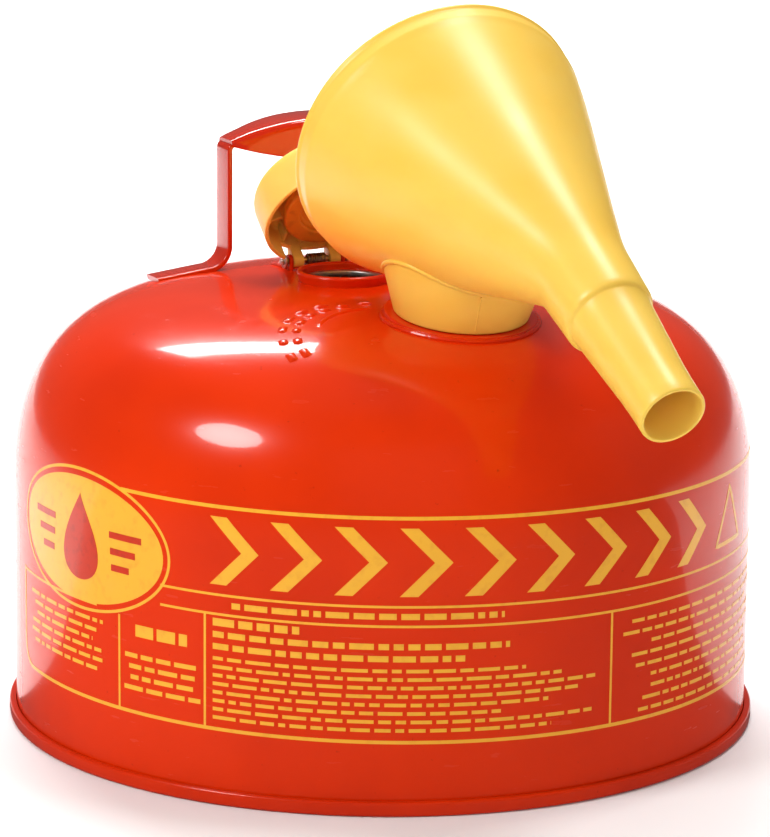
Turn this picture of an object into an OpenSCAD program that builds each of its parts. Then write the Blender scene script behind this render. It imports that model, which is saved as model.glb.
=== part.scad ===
// Squat two-gallon steel safety can with a spring-closed filler lid, a fixed strap
// handle and a lift-off pouring funnel. Millimetres, +Z up, front (nozzle side) is -Y,
// origin on the ground at the centre of the can.

/* [Can] */
// Outer radius of the straight wall
wall_r = 140.2; // [130:0.2:150]
// Height where the wall starts to turn into the dome
dome_z = 95; // [80:1:110]
// Height of the dome above that line
dome_h = 69.9; // [60:0.1:80]
// Sheet thickness of body, bottom and neck
sheet = 0.8; // [0.6:0.1:1.0]
// Outer radius of the rolled bottom seam
seam_r = 142.9; // [142:0.1:146]
// Height of the rolled bottom seam
seam_h = 5.5; // [4.5:0.1:7]

/* [Neck and lid] */
// Distance of the filler neck behind the can axis
neck_back = 14; // [14:1:18]
// Distance of the filler neck to the left of the can axis
neck_left = 10; // [0:1:12]
// Outer radius of the filler neck tube
neck_r = 17; // [15:0.5:18]
// Height of the neck lip above the dome
neck_rise = 4; // [3.5:0.5:4.5]
// Outer radius of the moulded lid
lid_r = 28.5; // [27.5:0.1:29]
// Depth of the lid from its rim to its top
lid_h = 18; // [17:0.5:19]
// Opening angle at which the lid is stored
lid_open = 50; // [40:1:52]

/* [Handle] */
// Distance of the handle behind the can axis
handle_back = 61; // [60:1:64]
// Half of the distance between the two legs, to their outer faces
handle_half = 41; // [38:1:43]
// Height of the two upper corners
handle_corner_z = 213.4; // [210:0.2:218]
// Height of the middle of the arched grip
handle_top_z = 222; // [219:0.5:226]
// Width of the strap at legs and feet
strap_w = 12; // [10:1:14]
// Full width of the grip at its middle
grip_w = 25; // [20:1:28]

/* [Funnel] */
// Distance of the funnel boss in front of the can axis
boss_front = 66; // [62:1:68]
// Outer radius of the mouth band
mouth_r = 55; // [52:0.5:56]
// Wall thickness of the funnel
funnel_wall = 1.6; // [1.2:0.1:2.2]
// Straight length of the stem from bowl to step
stem_len = 26; // [20:1:32]
// Length of the nozzle from the step to its end
nozzle_len = 51; // [40:0.5:56]
// Outer radius of the cylindrical nozzle end
tip_r = 11.75; // [10.5:0.25:12.5]

/* [Hidden] */
$fn = 72;

RED = "#da3600";
YELLOW = "#f6d264";
STEEL = "#b4b4ae";
BLACK = "#1c1c1c";
AMBER = "#c8781e";

// Superellipse powers and angular step of the dome outline
dome_pr = 0.411;
dome_pz = 0.923;
dome_step = 3;
apex_z = dome_z + dome_h;
skin_z = apex_z - sheet;

// Seam channel: the body wall hangs in it, on a bed of sealing compound
seam_gap = 0.2;
channel_r = wall_r - sheet - seam_gap;
panel_z = 8;
seam_chamfer = 0.8;
wall_foot_z = sheet + 0.3;
compound_gap = 0.15;

neck_bore = neck_r - sheet;
lip_r = 1.1;
lip_z = apex_z + neck_rise;
flange_r = 24;
run_gap = 0.1;

// Flame arrester: a pierced basket that hangs in the neck
basket_r = neck_bore - 0.4;
basket_t = 0.6;
basket_top = apex_z - 1;
basket_len = 62;
basket_rows = 7;
basket_cols = 6;
window = 5;
ring_h = 2;
ring_t = 2.2;

// Hinge behind the lid
pin_r = 1.25;
pin_hole_r = 1.33;
hinge_y = neck_back + lid_r - 0.5;
hinge_z = apex_z + 3.2;
knuckle_r = 2.6;
knuckle_in = 5.6;
knuckle_out = 9.8;
ear_in = 10.1;
ear_t = 1.5;
ear_r = 2.6;
pin_half = 13.6;
pin_head_r = 2.5;
clip_r = 2.8;
plate_rise = 0.55;
bracket_y1 = hinge_y + 16;
spring_gap = 0.35;
spring_wire = 0.5;
spring_turns = 9;
spring_leg = 11;

// Lid, drawn closed and then turned open about the hinge
lid_z = apex_z + 1;
lid_top = lid_z + lid_h;
lid_wall = 1.7;
lid_deck = 2;
lid_round = 5;
lid_in = lid_r - lid_wall;
notch_half = 14.6;
notch_h = 7.5;
rib_t = 1.2;
rib_h = 7;
rib_x = [4.7, 12.3];
tab_w = 18;
tab_out = 5.5;
tab_t = 2.4;

// Pressure relief stack inside the lid
seat_gap = 0.2;
gasket_z = lip_z + seat_gap;
gasket_h = 2.2;
gasket_r = 19.4;
gasket_in = 13.4;
carrier_z = gasket_z + gasket_h;
carrier_h = 2;
carrier_r = 19;
hub_r = 5.6;
hub_h = 2.4;
rivet_r = 2;
rivet_head_r = 5;
rivet_head_h = 1.2;
cup_t = 0.6;
cup_r = 6.4;
coil_r = 4.3;
coil_turns = 6;
coil_low = carrier_z + carrier_h + cup_t + run_gap;
coil_wire = (lid_top - lid_deck - run_gap - coil_low) / (2 + 1.98 * (coil_turns - 1));

strap_t = 2;
foot_bend = 10;
foot_end = 70;
foot_drop = 3;
edge_z = 1.2;
wing_drop = 6.3;
crown_power = 2.2;
grip_skin = 1.8;

// Funnel boss stands square to the dome; the funnel drops onto it
boss_tilt = 9;
boss_z = dome_top(boss_front);
boss_flange_r = 28;
boss_flange_h = 1.8;
boss_plug_r = 22.9;
boss_plug_h = 5.3;
boss_skin = 1.2;
boss_edge = 1;
weld_r = 0.8;
grip_r = 22.4;
grip_ring_r = 0.85;
grip_groove = 0.95;
grip_rise = 3.6;
collar_r = 25;
collar_flare = 33.5;
collar_h = 26;
collar_in = 23.3;
collar_gap = 0.25;

// Funnel centre line in the YZ plane: mouth, start of stem, and their slopes
mouth_y = -52.4;
mouth_z = 223.8;
mouth_tilt = 23.2;
stem_y = -158.7;
stem_z = 196.8;
stem_tilt = 28.7;

// The bowl bulges a little past a straight cone, most at its shoulder
shoulder_y = -66;
shoulder_z = 220.3;
shoulder_tilt = 24;
shoulder_r = mouth_r - 3.4;
bowl_r = mouth_r - 0.3;
band_h = 8;
bead_r = 1.3;
stem_r = 17;
step_r = 16;
nozzle_r = 14.7;
tip_len = 12;
bowl_fn = 64;

// Height of the dome surface at a distance from the axis
function dome_top(r) = dome_z
  + dome_h * pow(sin(acos(pow(r / wall_r, 1 / dome_pr))), dome_pz);

// Body of revolution under a dome of the given wall radius and height
module dome_solid(r, h, floor_z) {
  curve = [for (t = [0:dome_step:90])
    [r * pow(cos(t), dome_pr), dome_z + h * pow(sin(t), dome_pz)]];
  rotate_extrude($fn = 144) polygon(concat([[0, floor_z], [r, floor_z]], curve));
}

module outer_dome() { dome_solid(wall_r, dome_h, wall_foot_z); }

// Neck, hinge and lid are drawn at x = 0 and then set beside the can axis
module beside() { translate([-neck_left, 0, 0]) children(); }

module at_neck(z = 0) { translate([0, neck_back, z]) children(); }

module swing_lid() {
  translate([0, hinge_y, hinge_z]) rotate([-lid_open, 0, 0])
    translate([0, -hinge_y, -hinge_z]) children();
}

module at_boss(z = 0) {
  translate([0, -boss_front, boss_z]) rotate([boss_tilt, 0, 0]) translate([0, 0, z])
    children();
}

// Points a +Z shape forwards and down along the funnel
module aim(y, z, tilt) { translate([0, y, z]) rotate([90 + tilt, 0, 0]) children(); }

// Ring of rectangular section standing on z
module ring(r_out, r_in, h, z = 0) {
  translate([0, 0, z]) difference() {
    cylinder(r = r_out, h = h);
    translate([0, 0, -1]) cylinder(r = r_in, h = h + 2);
  }
}

module can_body() color(RED) difference() {
  outer_dome();
  dome_solid(wall_r - sheet, dome_h - sheet, -1);
  beside() at_neck(skin_z - 10) cylinder(r = neck_r + run_gap, h = 20);
}

module bottom_panel() color(RED) rotate_extrude($fn = 144) polygon([
  [0, panel_z - sheet], [channel_r - sheet, panel_z - sheet],
  [channel_r - sheet, seam_chamfer], [channel_r, 0], [seam_r - seam_chamfer, 0],
  [seam_r, seam_chamfer], [seam_r, seam_h - 2 * seam_chamfer],
  [seam_r - seam_chamfer, seam_h - seam_chamfer / 2],
  [seam_r - 2 * seam_chamfer, seam_h], [wall_r + seam_gap, seam_h],
  [wall_r + seam_gap, seam_h - sheet], [seam_r - sheet, seam_h - sheet],
  [seam_r - sheet, sheet], [channel_r, sheet], [channel_r, panel_z], [0, panel_z]]);

module seam_compound() color(BLACK)
  ring(seam_r - sheet - compound_gap, wall_r + compound_gap,
    seam_h - 2 * sheet - 2 * compound_gap, sheet + compound_gap, $fn = 144);

module neck() color(RED) beside() at_neck() {
  ring(neck_r, neck_bore, lip_z - lip_r - (skin_z - 5), skin_z - 5);
  ring(flange_r, neck_bore, sheet, skin_z - 5);
  translate([0, 0, lip_z - lip_r]) rotate_extrude()
    translate([neck_bore + lip_r, 0]) circle(r = lip_r);
}

module arrester_basket() color(STEEL) beside() at_neck(basket_top - basket_len) difference() {
  cylinder(r = basket_r, h = basket_len);
  translate([0, 0, basket_t]) cylinder(r = basket_r - basket_t, h = basket_len);
  for (row = [0:basket_rows - 1], col = [0:basket_cols - 1])
    translate([0, 0, window + row * window * 1.55])
      rotate([0, 0, (col + (row % 2) / 2) * 180 / basket_cols])
        translate([-basket_r - 1, -window / 2, 0])
          cube([2 * basket_r + 2, window, window]);
}

module arrester_ring() color(STEEL) beside() at_neck()
  ring(neck_bore - run_gap, neck_bore - ring_t, ring_h, basket_top);

// Base plate on the dome with two ears that carry the pin
module hinge_bracket() color(RED) difference() {
  beside() union() {
    translate([-ear_in - ear_t, hinge_y + ear_r, apex_z - 6])
      cube([2 * (ear_in + ear_t), bracket_y1 - hinge_y - ear_r, 6 + plate_rise]);
    for (side = [-1, 1]) translate([side * (ear_in + ear_t / 2), hinge_y, hinge_z]) {
      rotate([0, 90, 0]) cylinder(r = ear_r, h = ear_t, center = true);
      rotate([0, 90, 0]) linear_extrude(height = ear_t, center = true)
        polygon([[0, -ear_r], [8, -ear_r], [8, ear_r + 7], [2, ear_r + 7], [-ear_r, 0]]);
    }
  }
  outer_dome();
  beside() translate([-20, hinge_y, hinge_z]) rotate([0, 90, 0])
    cylinder(r = pin_hole_r, h = 40);
}

module hinge_pin() color(STEEL) beside() translate([0, hinge_y, hinge_z]) rotate([0, 90, 0]) {
  translate([0, 0, -pin_half - 1]) cylinder(r = pin_r, h = 2 * pin_half + 1);
  translate([0, 0, ear_in + ear_t + run_gap]) cylinder(r = pin_head_r, h = 1.4);
}

module pin_clip() color(STEEL) beside() translate([-pin_half + 0.2, hinge_y, hinge_z])
  rotate([0, 90, 0]) ring(clip_r, pin_r + 0.02, 0.8);

// Torsion spring on the pin: one leg lies on the base plate, the other on the lid
module lid_spring() color(STEEL) beside() translate([0, hinge_y, hinge_z]) {
  mean_r = pin_r + spring_wire + spring_gap;
  end_x = (spring_turns - 1) * spring_wire * 0.99;
  rotate([0, 90, 0]) rotate_extrude($fn = 32)
    for (i = [0:spring_turns - 1])
      translate([mean_r, -end_x + i * 2 * spring_wire * 0.99])
        circle(r = spring_wire, $fn = 16);
  translate([end_x, 0, -mean_r]) rotate([-90, 0, 0])
    cylinder(r = spring_wire, h = spring_leg, $fn = 16);
  rotate([-lid_open, 0, 0]) translate([-end_x, mean_r, 0]) rotate([6, 0, 0])
    cylinder(r = spring_wire, h = spring_leg - 3, $fn = 16);
}

module lid_shell() {
  arc = [for (a = [0:15:90]) [lid_r - lid_round + lid_round * cos(a),
    lid_top - lid_round + lid_round * sin(a)]];
  inner = [for (a = [90:-15:0])
    [lid_in - lid_round + lid_deck + (lid_round - lid_deck) * cos(a),
      lid_top - lid_round + (lid_round - lid_deck) * sin(a)]];
  at_neck() rotate_extrude($fn = 96) polygon(concat([[lid_in, lid_z], [lid_r, lid_z]],
    arc, [[0, lid_top], [0, lid_top - lid_deck]], inner));
}

module lid_ribs() {
  rib_z = lid_top - lid_deck - rib_h;
  for (x = rib_x, side = [-1, 1])
    translate([side * x - rib_t / 2, neck_back + carrier_r + 0.5, rib_z])
      cube([rib_t, sqrt(pow(lid_in, 2) - pow(x, 2)) - carrier_r, rib_h + 0.5]);
  for (a = [150:30:390]) translate([0, neck_back, rib_z]) rotate([0, 0, a])
    translate([carrier_r + 0.5, -rib_t / 2, 0])
      cube([lid_in - carrier_r, rib_t, rib_h + 0.5]);
}

module knuckles() {
  for (side = [-1, 1])
    translate([side * (knuckle_in + knuckle_out) / 2, hinge_y, hinge_z]) {
      width = knuckle_out - knuckle_in;
      rotate([0, 90, 0]) cylinder(r = knuckle_r, h = width, center = true);
      translate([-width / 2, -knuckle_r, 0]) cube([width, knuckle_r, lid_h - 9]);
    }
}

module lid_cap() color(YELLOW) beside() swing_lid() difference() {
  union() {
    difference() {
      union() {
        lid_shell();
        lid_ribs();
      }
      translate([-notch_half, neck_back + 5, lid_z - 1])
        cube([2 * notch_half, lid_r, notch_h + 1]);
    }
    knuckles();
    translate([-tab_w / 2, neck_back - lid_r - tab_out, lid_z])
      cube([tab_w, tab_out + 2.6, tab_t]);
    at_neck(lid_top - lid_deck - hub_h) cylinder(r = hub_r - 2.2, h = hub_h + 0.5);
  }
  at_neck(lid_z) cylinder(r = rivet_r + 0.06, h = lid_h + 1);
  translate([-20, hinge_y, hinge_z]) rotate([0, 90, 0])
    cylinder(r = pin_hole_r, h = 40);
}

module seal_carrier() color(YELLOW) beside() swing_lid() at_neck(carrier_z) difference() {
  cylinder(r = carrier_r, h = carrier_h);
  translate([0, 0, -1]) cylinder(r = rivet_r + 0.02, h = carrier_h + 2);
}

module lid_gasket() color(AMBER) beside() swing_lid() at_neck()
  ring(gasket_r, gasket_in, gasket_h, gasket_z);

module relief_rivet() color(STEEL) beside() swing_lid() at_neck() {
  translate([0, 0, carrier_z - rivet_head_h])
    cylinder(r = rivet_r, h = lid_top + rivet_head_h - carrier_z + 0.5);
  translate([0, 0, carrier_z - rivet_head_h]) cylinder(r = 3.6, h = rivet_head_h);
  translate([0, 0, lid_top + 0.1]) cylinder(r1 = rivet_head_r, r2 = 3, h = rivet_head_h);
}

module relief_spring() color(STEEL) beside() swing_lid() at_neck(coil_low + coil_wire)
  rotate_extrude($fn = 40) for (i = [0:coil_turns - 1])
    translate([coil_r, i * 1.98 * coil_wire]) circle(r = coil_wire, $fn = 16);

module spring_cup() color(STEEL) beside() swing_lid() at_neck()
  ring(cup_r, rivet_r + 0.1, cup_t, carrier_z + carrier_h);

// Side view of one leg and foot, as a band of even thickness
module leg_outline() {
  foot_x = handle_half + foot_bend - strap_t;
  foot_z = dome_top(norm([foot_x, handle_back])) + strap_t / 2;
  bend_z = foot_z + foot_bend - strap_t / 2;
  outer = [for (a = [0:15:90])
    [foot_x - (foot_bend - strap_t) * cos(a), bend_z - (foot_bend - strap_t) * sin(a)]];
  inner = [for (a = [90:-15:0])
    [foot_x - foot_bend * cos(a), bend_z - foot_bend * sin(a)]];
  polygon(concat([[handle_half, handle_corner_z]], outer,
    [[foot_end, foot_z + strap_t / 2 - foot_drop],
      [foot_end, foot_z - strap_t - foot_drop]],
    inner, [[handle_half - strap_t, handle_corner_z - strap_t]]));
}

// Side view of the grip, shrunk by skin at the ends and top and open below when hollow
module grip_outline(skin) {
  half = handle_half - skin;
  rise = handle_top_z - handle_corner_z;
  floor_z = handle_corner_z - edge_z - (skin > 0 ? wing_drop + 10 : 0);
  top = [for (s = [-1:0.1:1])
    [s * half, handle_corner_z - skin + rise * (1 - pow(abs(s), crown_power))]];
  low = skin > 0 ? [[half, floor_z], [-half, floor_z]]
    : [for (s = [1:-0.1:-1]) [s * half, floor_z - wing_drop * (1 - s * s)]];
  polygon(concat(top, low));
}

// Plan view of the grip: narrow at the corners, wide in the middle
module grip_plan(skin) {
  wide = grip_w / 2 - skin;
  end = strap_w / 2 - skin;
  side = [for (s = [-1:0.1:1]) [s * handle_half, end + (wide - end) * (1 - s * s)]];
  other = [for (p = side) [-p[0], -p[1]]];
  polygon(concat(side, other));
}

module grip_solid(skin) {
  intersection() {
    translate([0, handle_back, 0]) linear_extrude(height = 300) grip_plan(skin);
    translate([0, handle_back + 30, 0]) rotate([90, 0, 0])
      linear_extrude(height = 60) grip_outline(skin);
  }
}

module handle() color(RED) difference() {
  union() {
    difference() {
      grip_solid(0);
      grip_solid(grip_skin);
    }
    for (side = [0, 1]) mirror([side, 0, 0])
      translate([0, handle_back + strap_w / 2, 0]) rotate([90, 0, 0])
        linear_extrude(height = strap_w) leg_outline();
  }
  outer_dome();
}

module funnel_boss() color(RED) difference() {
  union() {
    at_boss(-8) cylinder(r = boss_flange_r, h = boss_flange_h + 8 - boss_edge);
    at_boss(boss_flange_h - boss_edge)
      cylinder(r1 = boss_flange_r, r2 = boss_flange_r - boss_edge, h = boss_edge);
    at_boss() cylinder(r = boss_plug_r, h = boss_plug_h);
  }
  outer_dome();
  at_boss(-8) cylinder(r = boss_plug_r - boss_skin - grip_groove,
    h = boss_plug_h + 8 - boss_skin);
  at_boss(grip_rise) rotate_extrude()
    translate([grip_r, 0]) circle(r = grip_groove, $fn = 24);
}

module boss_weld_ring() color(RED) difference() {
  at_boss(-0.2) rotate_extrude($fn = 96)
    translate([boss_flange_r + weld_r, 0]) circle(r = weld_r, $fn = 24);
  outer_dome();
}

module grip_ring() color(BLACK) at_boss(grip_rise) rotate_extrude()
  translate([grip_r, 0]) circle(r = grip_ring_r, $fn = 24);

// Funnel body grown or shrunk by the wall thickness
module funnel_solid(skin) {
  reach = skin > 0 ? 1 : 0;
  aim(mouth_y, mouth_z, mouth_tilt) translate([0, 0, -band_h - reach])
    cylinder(r = mouth_r - skin, h = band_h + reach);
  hull() {
    aim(mouth_y, mouth_z, mouth_tilt) translate([0, 0, -0.2])
      cylinder(r = bowl_r - skin, h = 0.2, $fn = bowl_fn);
    aim(shoulder_y, shoulder_z, shoulder_tilt)
      cylinder(r = shoulder_r - skin, h = 0.2, $fn = bowl_fn);
    aim(stem_y, stem_z, stem_tilt) cylinder(r = stem_r - skin, h = 0.2, $fn = bowl_fn);
  }
  aim(stem_y, stem_z, stem_tilt) {
    cylinder(r1 = stem_r - skin, r2 = step_r - skin, h = stem_len);
    translate([0, 0, stem_len - reach * skin])
      cylinder(r1 = nozzle_r - skin, r2 = tip_r - skin, h = nozzle_len - tip_len);
    translate([0, 0, stem_len + nozzle_len - tip_len - reach * skin])
      cylinder(r = tip_r - skin, h = tip_len + 3 * reach);
  }
}

module funnel() color(YELLOW) difference() {
  union() {
    funnel_solid(0);
    aim(mouth_y, mouth_z, mouth_tilt) translate([0, 0, -band_h]) rotate_extrude()
      translate([mouth_r - bead_r / 2, 0]) circle(r = bead_r, $fn = 24);
  }
  funnel_solid(funnel_wall);
}

module funnel_collar() color(YELLOW) difference() {
  at_boss(boss_flange_h + collar_gap)
    cylinder(r1 = collar_r, r2 = collar_flare, h = collar_h);
  at_boss(0) cylinder(r = collar_in, h = collar_h + 8);
  funnel_solid(0);
}

can_body();
bottom_panel();
seam_compound();
neck();
arrester_basket();
arrester_ring();
hinge_bracket();
hinge_pin();
pin_clip();
lid_spring();
lid_cap();
seal_carrier();
lid_gasket();
relief_rivet();
relief_spring();
spring_cup();
handle();
funnel_boss();
boss_weld_ring();
grip_ring();
funnel();
funnel_collar();
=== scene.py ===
"""Looks of the squat safety can: enamelled steel body, yellow lid and yellow funnel."""
import math
import random

import bmesh
import bpy
from mathutils import Matrix, Vector
from mathutils.bvhtree import BVHTree


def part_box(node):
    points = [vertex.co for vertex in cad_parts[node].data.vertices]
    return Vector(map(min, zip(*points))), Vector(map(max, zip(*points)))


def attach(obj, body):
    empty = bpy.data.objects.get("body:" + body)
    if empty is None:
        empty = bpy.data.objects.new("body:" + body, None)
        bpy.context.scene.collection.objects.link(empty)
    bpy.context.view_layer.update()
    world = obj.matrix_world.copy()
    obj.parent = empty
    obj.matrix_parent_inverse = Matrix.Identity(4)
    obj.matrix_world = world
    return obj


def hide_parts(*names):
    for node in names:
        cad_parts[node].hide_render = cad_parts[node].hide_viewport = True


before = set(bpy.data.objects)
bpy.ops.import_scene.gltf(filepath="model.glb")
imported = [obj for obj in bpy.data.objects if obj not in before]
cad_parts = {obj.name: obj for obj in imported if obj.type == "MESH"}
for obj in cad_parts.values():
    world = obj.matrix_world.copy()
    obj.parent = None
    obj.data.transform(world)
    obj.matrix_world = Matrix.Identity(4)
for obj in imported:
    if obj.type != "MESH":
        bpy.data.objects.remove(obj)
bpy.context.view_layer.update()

# Lengths are in millimetres, and become metres where a mesh or a light is made.
MM = 0.001
UPRIGHT = Matrix.Identity(4)
rng = random.Random(11)


def corners(node):
    """Lower and upper corner of a CAD node's box."""
    low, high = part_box(node)
    return low / MM, high / MM


def middle(node):
    low, high = corners(node)
    return (low + high) / 2


# -------------------- sizes
WALL_R = corners("can_body")[1].x
APEX_Z = corners("can_body")[1].z
WALL_FOOT = corners("can_body")[0].z
# The dome is a superellipse with a power across and a power up.
DOME_H = 69.9
DOME_Z = APEX_Z - DOME_H
DOME_PR, DOME_PZ = 0.411, 0.923
SHEET = 0.8
SEAM_R = corners("bottom_panel")[1].x
SEAM_H = 5.5

NECK = middle("neck")
NECK.z = 0
LIP_Z = corners("neck")[1].z
NECK_R, NECK_BORE = 17.0, 16.2
HINGE = middle("hinge_pin")
HINGE.x = NECK.x
LID_OPEN = math.radians(50)
LID_R, LID_H, LID_WALL, LID_DECK = 28.5, 18.0, 1.7, 2.0
LID_Z = APEX_Z + 1
LID_TOP = LID_Z + LID_H
LID_INNER, DECK_Z = LID_R - LID_WALL, LID_TOP - LID_DECK
NOTCH_HALF, NOTCH_H = 14.6, 7.5

CARRIER_R, CARRIER_H, GASKET_H, RIVET_R, CUP_T = 19.0, 2.0, 2.2, 2.0, 0.6
SEAT_Z = LIP_Z + 0.2
CARRIER_Z = SEAT_Z + GASKET_H
CARRIER_TOP = CARRIER_Z + CARRIER_H
KNUCKLE_R, KNUCKLE_IN, KNUCKLE_OUT = 2.6, 5.6, 9.8
PIN_R, PIN_HEAD_R, CLIP_R = 1.25, 2.5, 2.8
RIB_T, RIB_DEEP = 1.2, 7.0

HANDLE_Y = middle("handle").y
HANDLE_HALF = 41.0
HANDLE_TOP = corners("handle")[1].z
HANDLE_CORNER = HANDLE_TOP - 8.6
FOOT_END = corners("handle")[1].x
STRAP_W, STRAP_T = 12.0, 2.0
GRIP_W = corners("handle")[1].y - corners("handle")[0].y

BOSS_Y = -66.0
BOSS_TILT = math.radians(9)
MOUTH = Vector((0, -52.4, 223.8))
STEM = Vector((0, -158.7, 196.8))
MOUTH_TILT, STEM_TILT = math.radians(23.2), math.radians(28.7)
MOUTH_R, STEM_R, TIP_R = 55.0, 17.0, 11.75
FUNNEL_WALL, BAND_H, BEAD_R = 1.6, 8.0, 1.3
STEM_LEN, NOZZLE_LEN = 26.0, 51.0
BOSS_R, BOSS_H, PLUG_R, PLUG_H = 28.0, 1.8, 22.9, 5.3
GRIP_R, GRIP_Z = 22.4, 3.6
COLLAR_R, COLLAR_TOP_R, COLLAR_IN, COLLAR_H = 25.0, 33.3, 23.3, 27.0
COLLAR_Z, RIM_H = BOSS_H + 0.25, 0.8
RING_COUNT = 144

VIEW_TURN = math.radians(-25)


# -------------------- surfaces of the can
def dome_top(r):
    """Height of the dome at a distance from the axis."""
    cos_t = min(1.0, (r / WALL_R) ** (1 / DOME_PR))
    return DOME_Z + DOME_H * math.sqrt(1 - cos_t ** 2) ** DOME_PZ


def wall_at(z):
    """Radius of the body at a height."""
    if z <= DOME_Z:
        return WALL_R
    sin_t = min(1.0, ((z - DOME_Z) / DOME_H) ** (1 / DOME_PZ))
    return WALL_R * math.sqrt(1 - sin_t ** 2) ** DOME_PR


def on_wall(angle, z, lift=0.0):
    """Point on the body; angle runs from the front (-Y) towards +X."""
    slope = (wall_at(z + 0.2) - wall_at(z - 0.2)) / 0.4
    norm = math.hypot(1, slope)
    r = wall_at(z) + lift / norm
    return Vector((r * math.sin(angle), -r * math.cos(angle), z - lift * slope / norm))


def on_dome(x, y, lift=0.0):
    """Point on the dome above (x, y)."""
    r = math.hypot(x, y)
    slope = (dome_top(r + 0.2) - dome_top(max(0, r - 0.2))) / 0.4
    norm = math.hypot(1, slope)
    out = Vector((x, y, 0)).normalized()
    return Vector((x, y, dome_top(r))) + (Vector((0, 0, 1)) - out * slope) * lift / norm


def at_neck(z=0.0):
    return Matrix.Translation(NECK + Vector((0, 0, z)))


def swing(z=0.0):
    """Places what is drawn on the closed lid's axis into the open lid."""
    turn = Matrix.Rotation(-LID_OPEN, 4, "X")
    return Matrix.Translation(HINGE) @ turn @ Matrix.Translation(-HINGE) @ at_neck(z)


def at_boss(z=0.0):
    """Places what is drawn upright on the tilted boss."""
    seat = Matrix.Translation((0, BOSS_Y, dome_top(-BOSS_Y)))
    return seat @ Matrix.Rotation(BOSS_TILT, 4, "X") @ Matrix.Translation((0, 0, z))


def aim(origin, tilt):
    """Points a +Z shape forwards and down along the funnel."""
    return Matrix.Translation(origin) @ Matrix.Rotation(math.pi / 2 + tilt, 4, "X")


# -------------------- mesh tools
def rounded(outline, steps=5):
    """Outline of (x, y, radius) corners, each turned into an arc."""
    points = []
    for i, (x, y, radius) in enumerate(outline):
        p = Vector((x, y))
        a = Vector(outline[i - 1][:2]) - p
        b = Vector(outline[(i + 1) % len(outline)][:2]) - p
        if radius <= 0:
            points.append(p)
            continue
        reach = min(radius / math.tan(a.angle(b) / 2), 0.49 * a.length, 0.49 * b.length)
        start, end = p + a.normalized() * reach, p + b.normalized() * reach
        for k in range(steps + 1):
            t = k / steps
            points.append(start * (1 - t) ** 2 + p * 2 * t * (1 - t) + end * t * t)
    return points


def circle(radius, z=0.0, count=96):
    return [Vector((radius * math.cos(a), radius * math.sin(a), z))
            for a in (2 * math.pi * i / count for i in range(count))]


def loft(rings, closed=False, capped=True):
    """Skin over rings of equal count. Closed joins the last ring to the first."""
    count = len(rings[0])
    verts = [p for ring in rings for p in ring]
    faces = []
    for i in range(len(rings) if closed else len(rings) - 1):
        a, b = i * count, (i + 1) % len(rings) * count
        for k in range(count):
            n = (k + 1) % count
            faces.append((a + k, a + n, b + n, b + k))
    if capped and not closed:
        faces.append(tuple(reversed(range(count))))
        faces.append(tuple(range(len(verts) - count, len(verts))))
    return verts, faces


def lathe(outline, turn=UPRIGHT, count=96):
    """Solid of revolution from a closed outline of (r, z)."""
    rings = [[turn @ p for p in circle(r, z, count)] for r, z in outline]
    return loft(rings, closed=True)


def tube(path, radius, sides=12, closed=False, wobble=0.0):
    """Round wire along a path."""
    rings = []
    side = None
    for i, p in enumerate(path):
        if closed:
            ahead = (path[(i + 1) % len(path)] - path[i - 1]).normalized()
        else:
            ahead = (path[min(i + 1, len(path) - 1)] - path[max(i - 1, 0)]).normalized()
        if side is None:
            side = ahead.orthogonal().normalized()
        side = (side - ahead * side.dot(ahead)).normalized()
        up = ahead.cross(side)
        r = radius * (1 + wobble * rng.uniform(-1, 1))
        rings.append([p + (side * math.cos(a) + up * math.sin(a)) * r
                      for a in (2 * math.pi * k / sides for k in range(sides))])
    return loft(rings, closed=closed)


def joined(*parts):
    """Several (verts, faces) as one."""
    verts, faces = [], []
    for v, f in parts:
        base = len(verts)
        verts += v
        faces += [tuple(i + base for i in face) for face in f]
    return verts, faces


def moved(part, turn):
    return [turn @ v for v in part[0]], part[1]


def linked(name, data):
    """New object in the scene."""
    obj = bpy.data.objects.new(name, data)
    bpy.context.scene.collection.objects.link(obj)
    return obj


def new_object(name, part, sharp=35):
    """Blender object from (verts, faces) in millimetres, smooth with sharp creases."""
    mesh = bpy.data.meshes.new(name)
    mesh.from_pydata([v * MM for v in part[0]], [], part[1])
    edit = bmesh.new()
    edit.from_mesh(mesh)
    bmesh.ops.remove_doubles(edit, verts=edit.verts, dist=1e-6)
    bmesh.ops.dissolve_degenerate(edit, edges=edit.edges, dist=1e-6)
    bmesh.ops.recalc_face_normals(edit, faces=edit.faces)
    edit.to_mesh(mesh)
    edit.free()
    obj = linked(name, mesh)
    crease(obj, sharp)
    return obj


def crease(obj, sharp=35):
    """Smooth faces, with edges sharper than the angle kept sharp."""
    edit = bmesh.new()
    edit.from_mesh(obj.data)
    for face in edit.faces:
        face.smooth = True
    for edge in edit.edges:
        edge.smooth = len(edge.link_faces) < 2 or edge.calc_face_angle(0) < math.radians(sharp)
    edit.to_mesh(obj.data)
    edit.free()


def applied(obj):
    """Turns modifiers into mesh."""
    bpy.context.view_layer.update()
    final = obj.evaluated_get(bpy.context.evaluated_depsgraph_get())
    mesh = bpy.data.meshes.new_from_object(final)
    obj.modifiers.clear()
    obj.data = mesh


def soften(obj, width, limit=30):
    """Bevels the edges that are sharper than the limit."""
    soft = obj.modifiers.new("soft", "BEVEL")
    soft.width, soft.segments, soft.limit_method = width * MM, 2, "ANGLE"
    soft.angle_limit = math.radians(limit)
    applied(obj)


def carve(obj, part):
    """Cuts a closed (verts, faces) out of an object."""
    knife = new_object("knife", part)
    cut = obj.modifiers.new("cut", "BOOLEAN")
    cut.operation, cut.solver, cut.object = "DIFFERENCE", "EXACT", knife
    applied(obj)
    bpy.data.objects.remove(knife)


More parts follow.
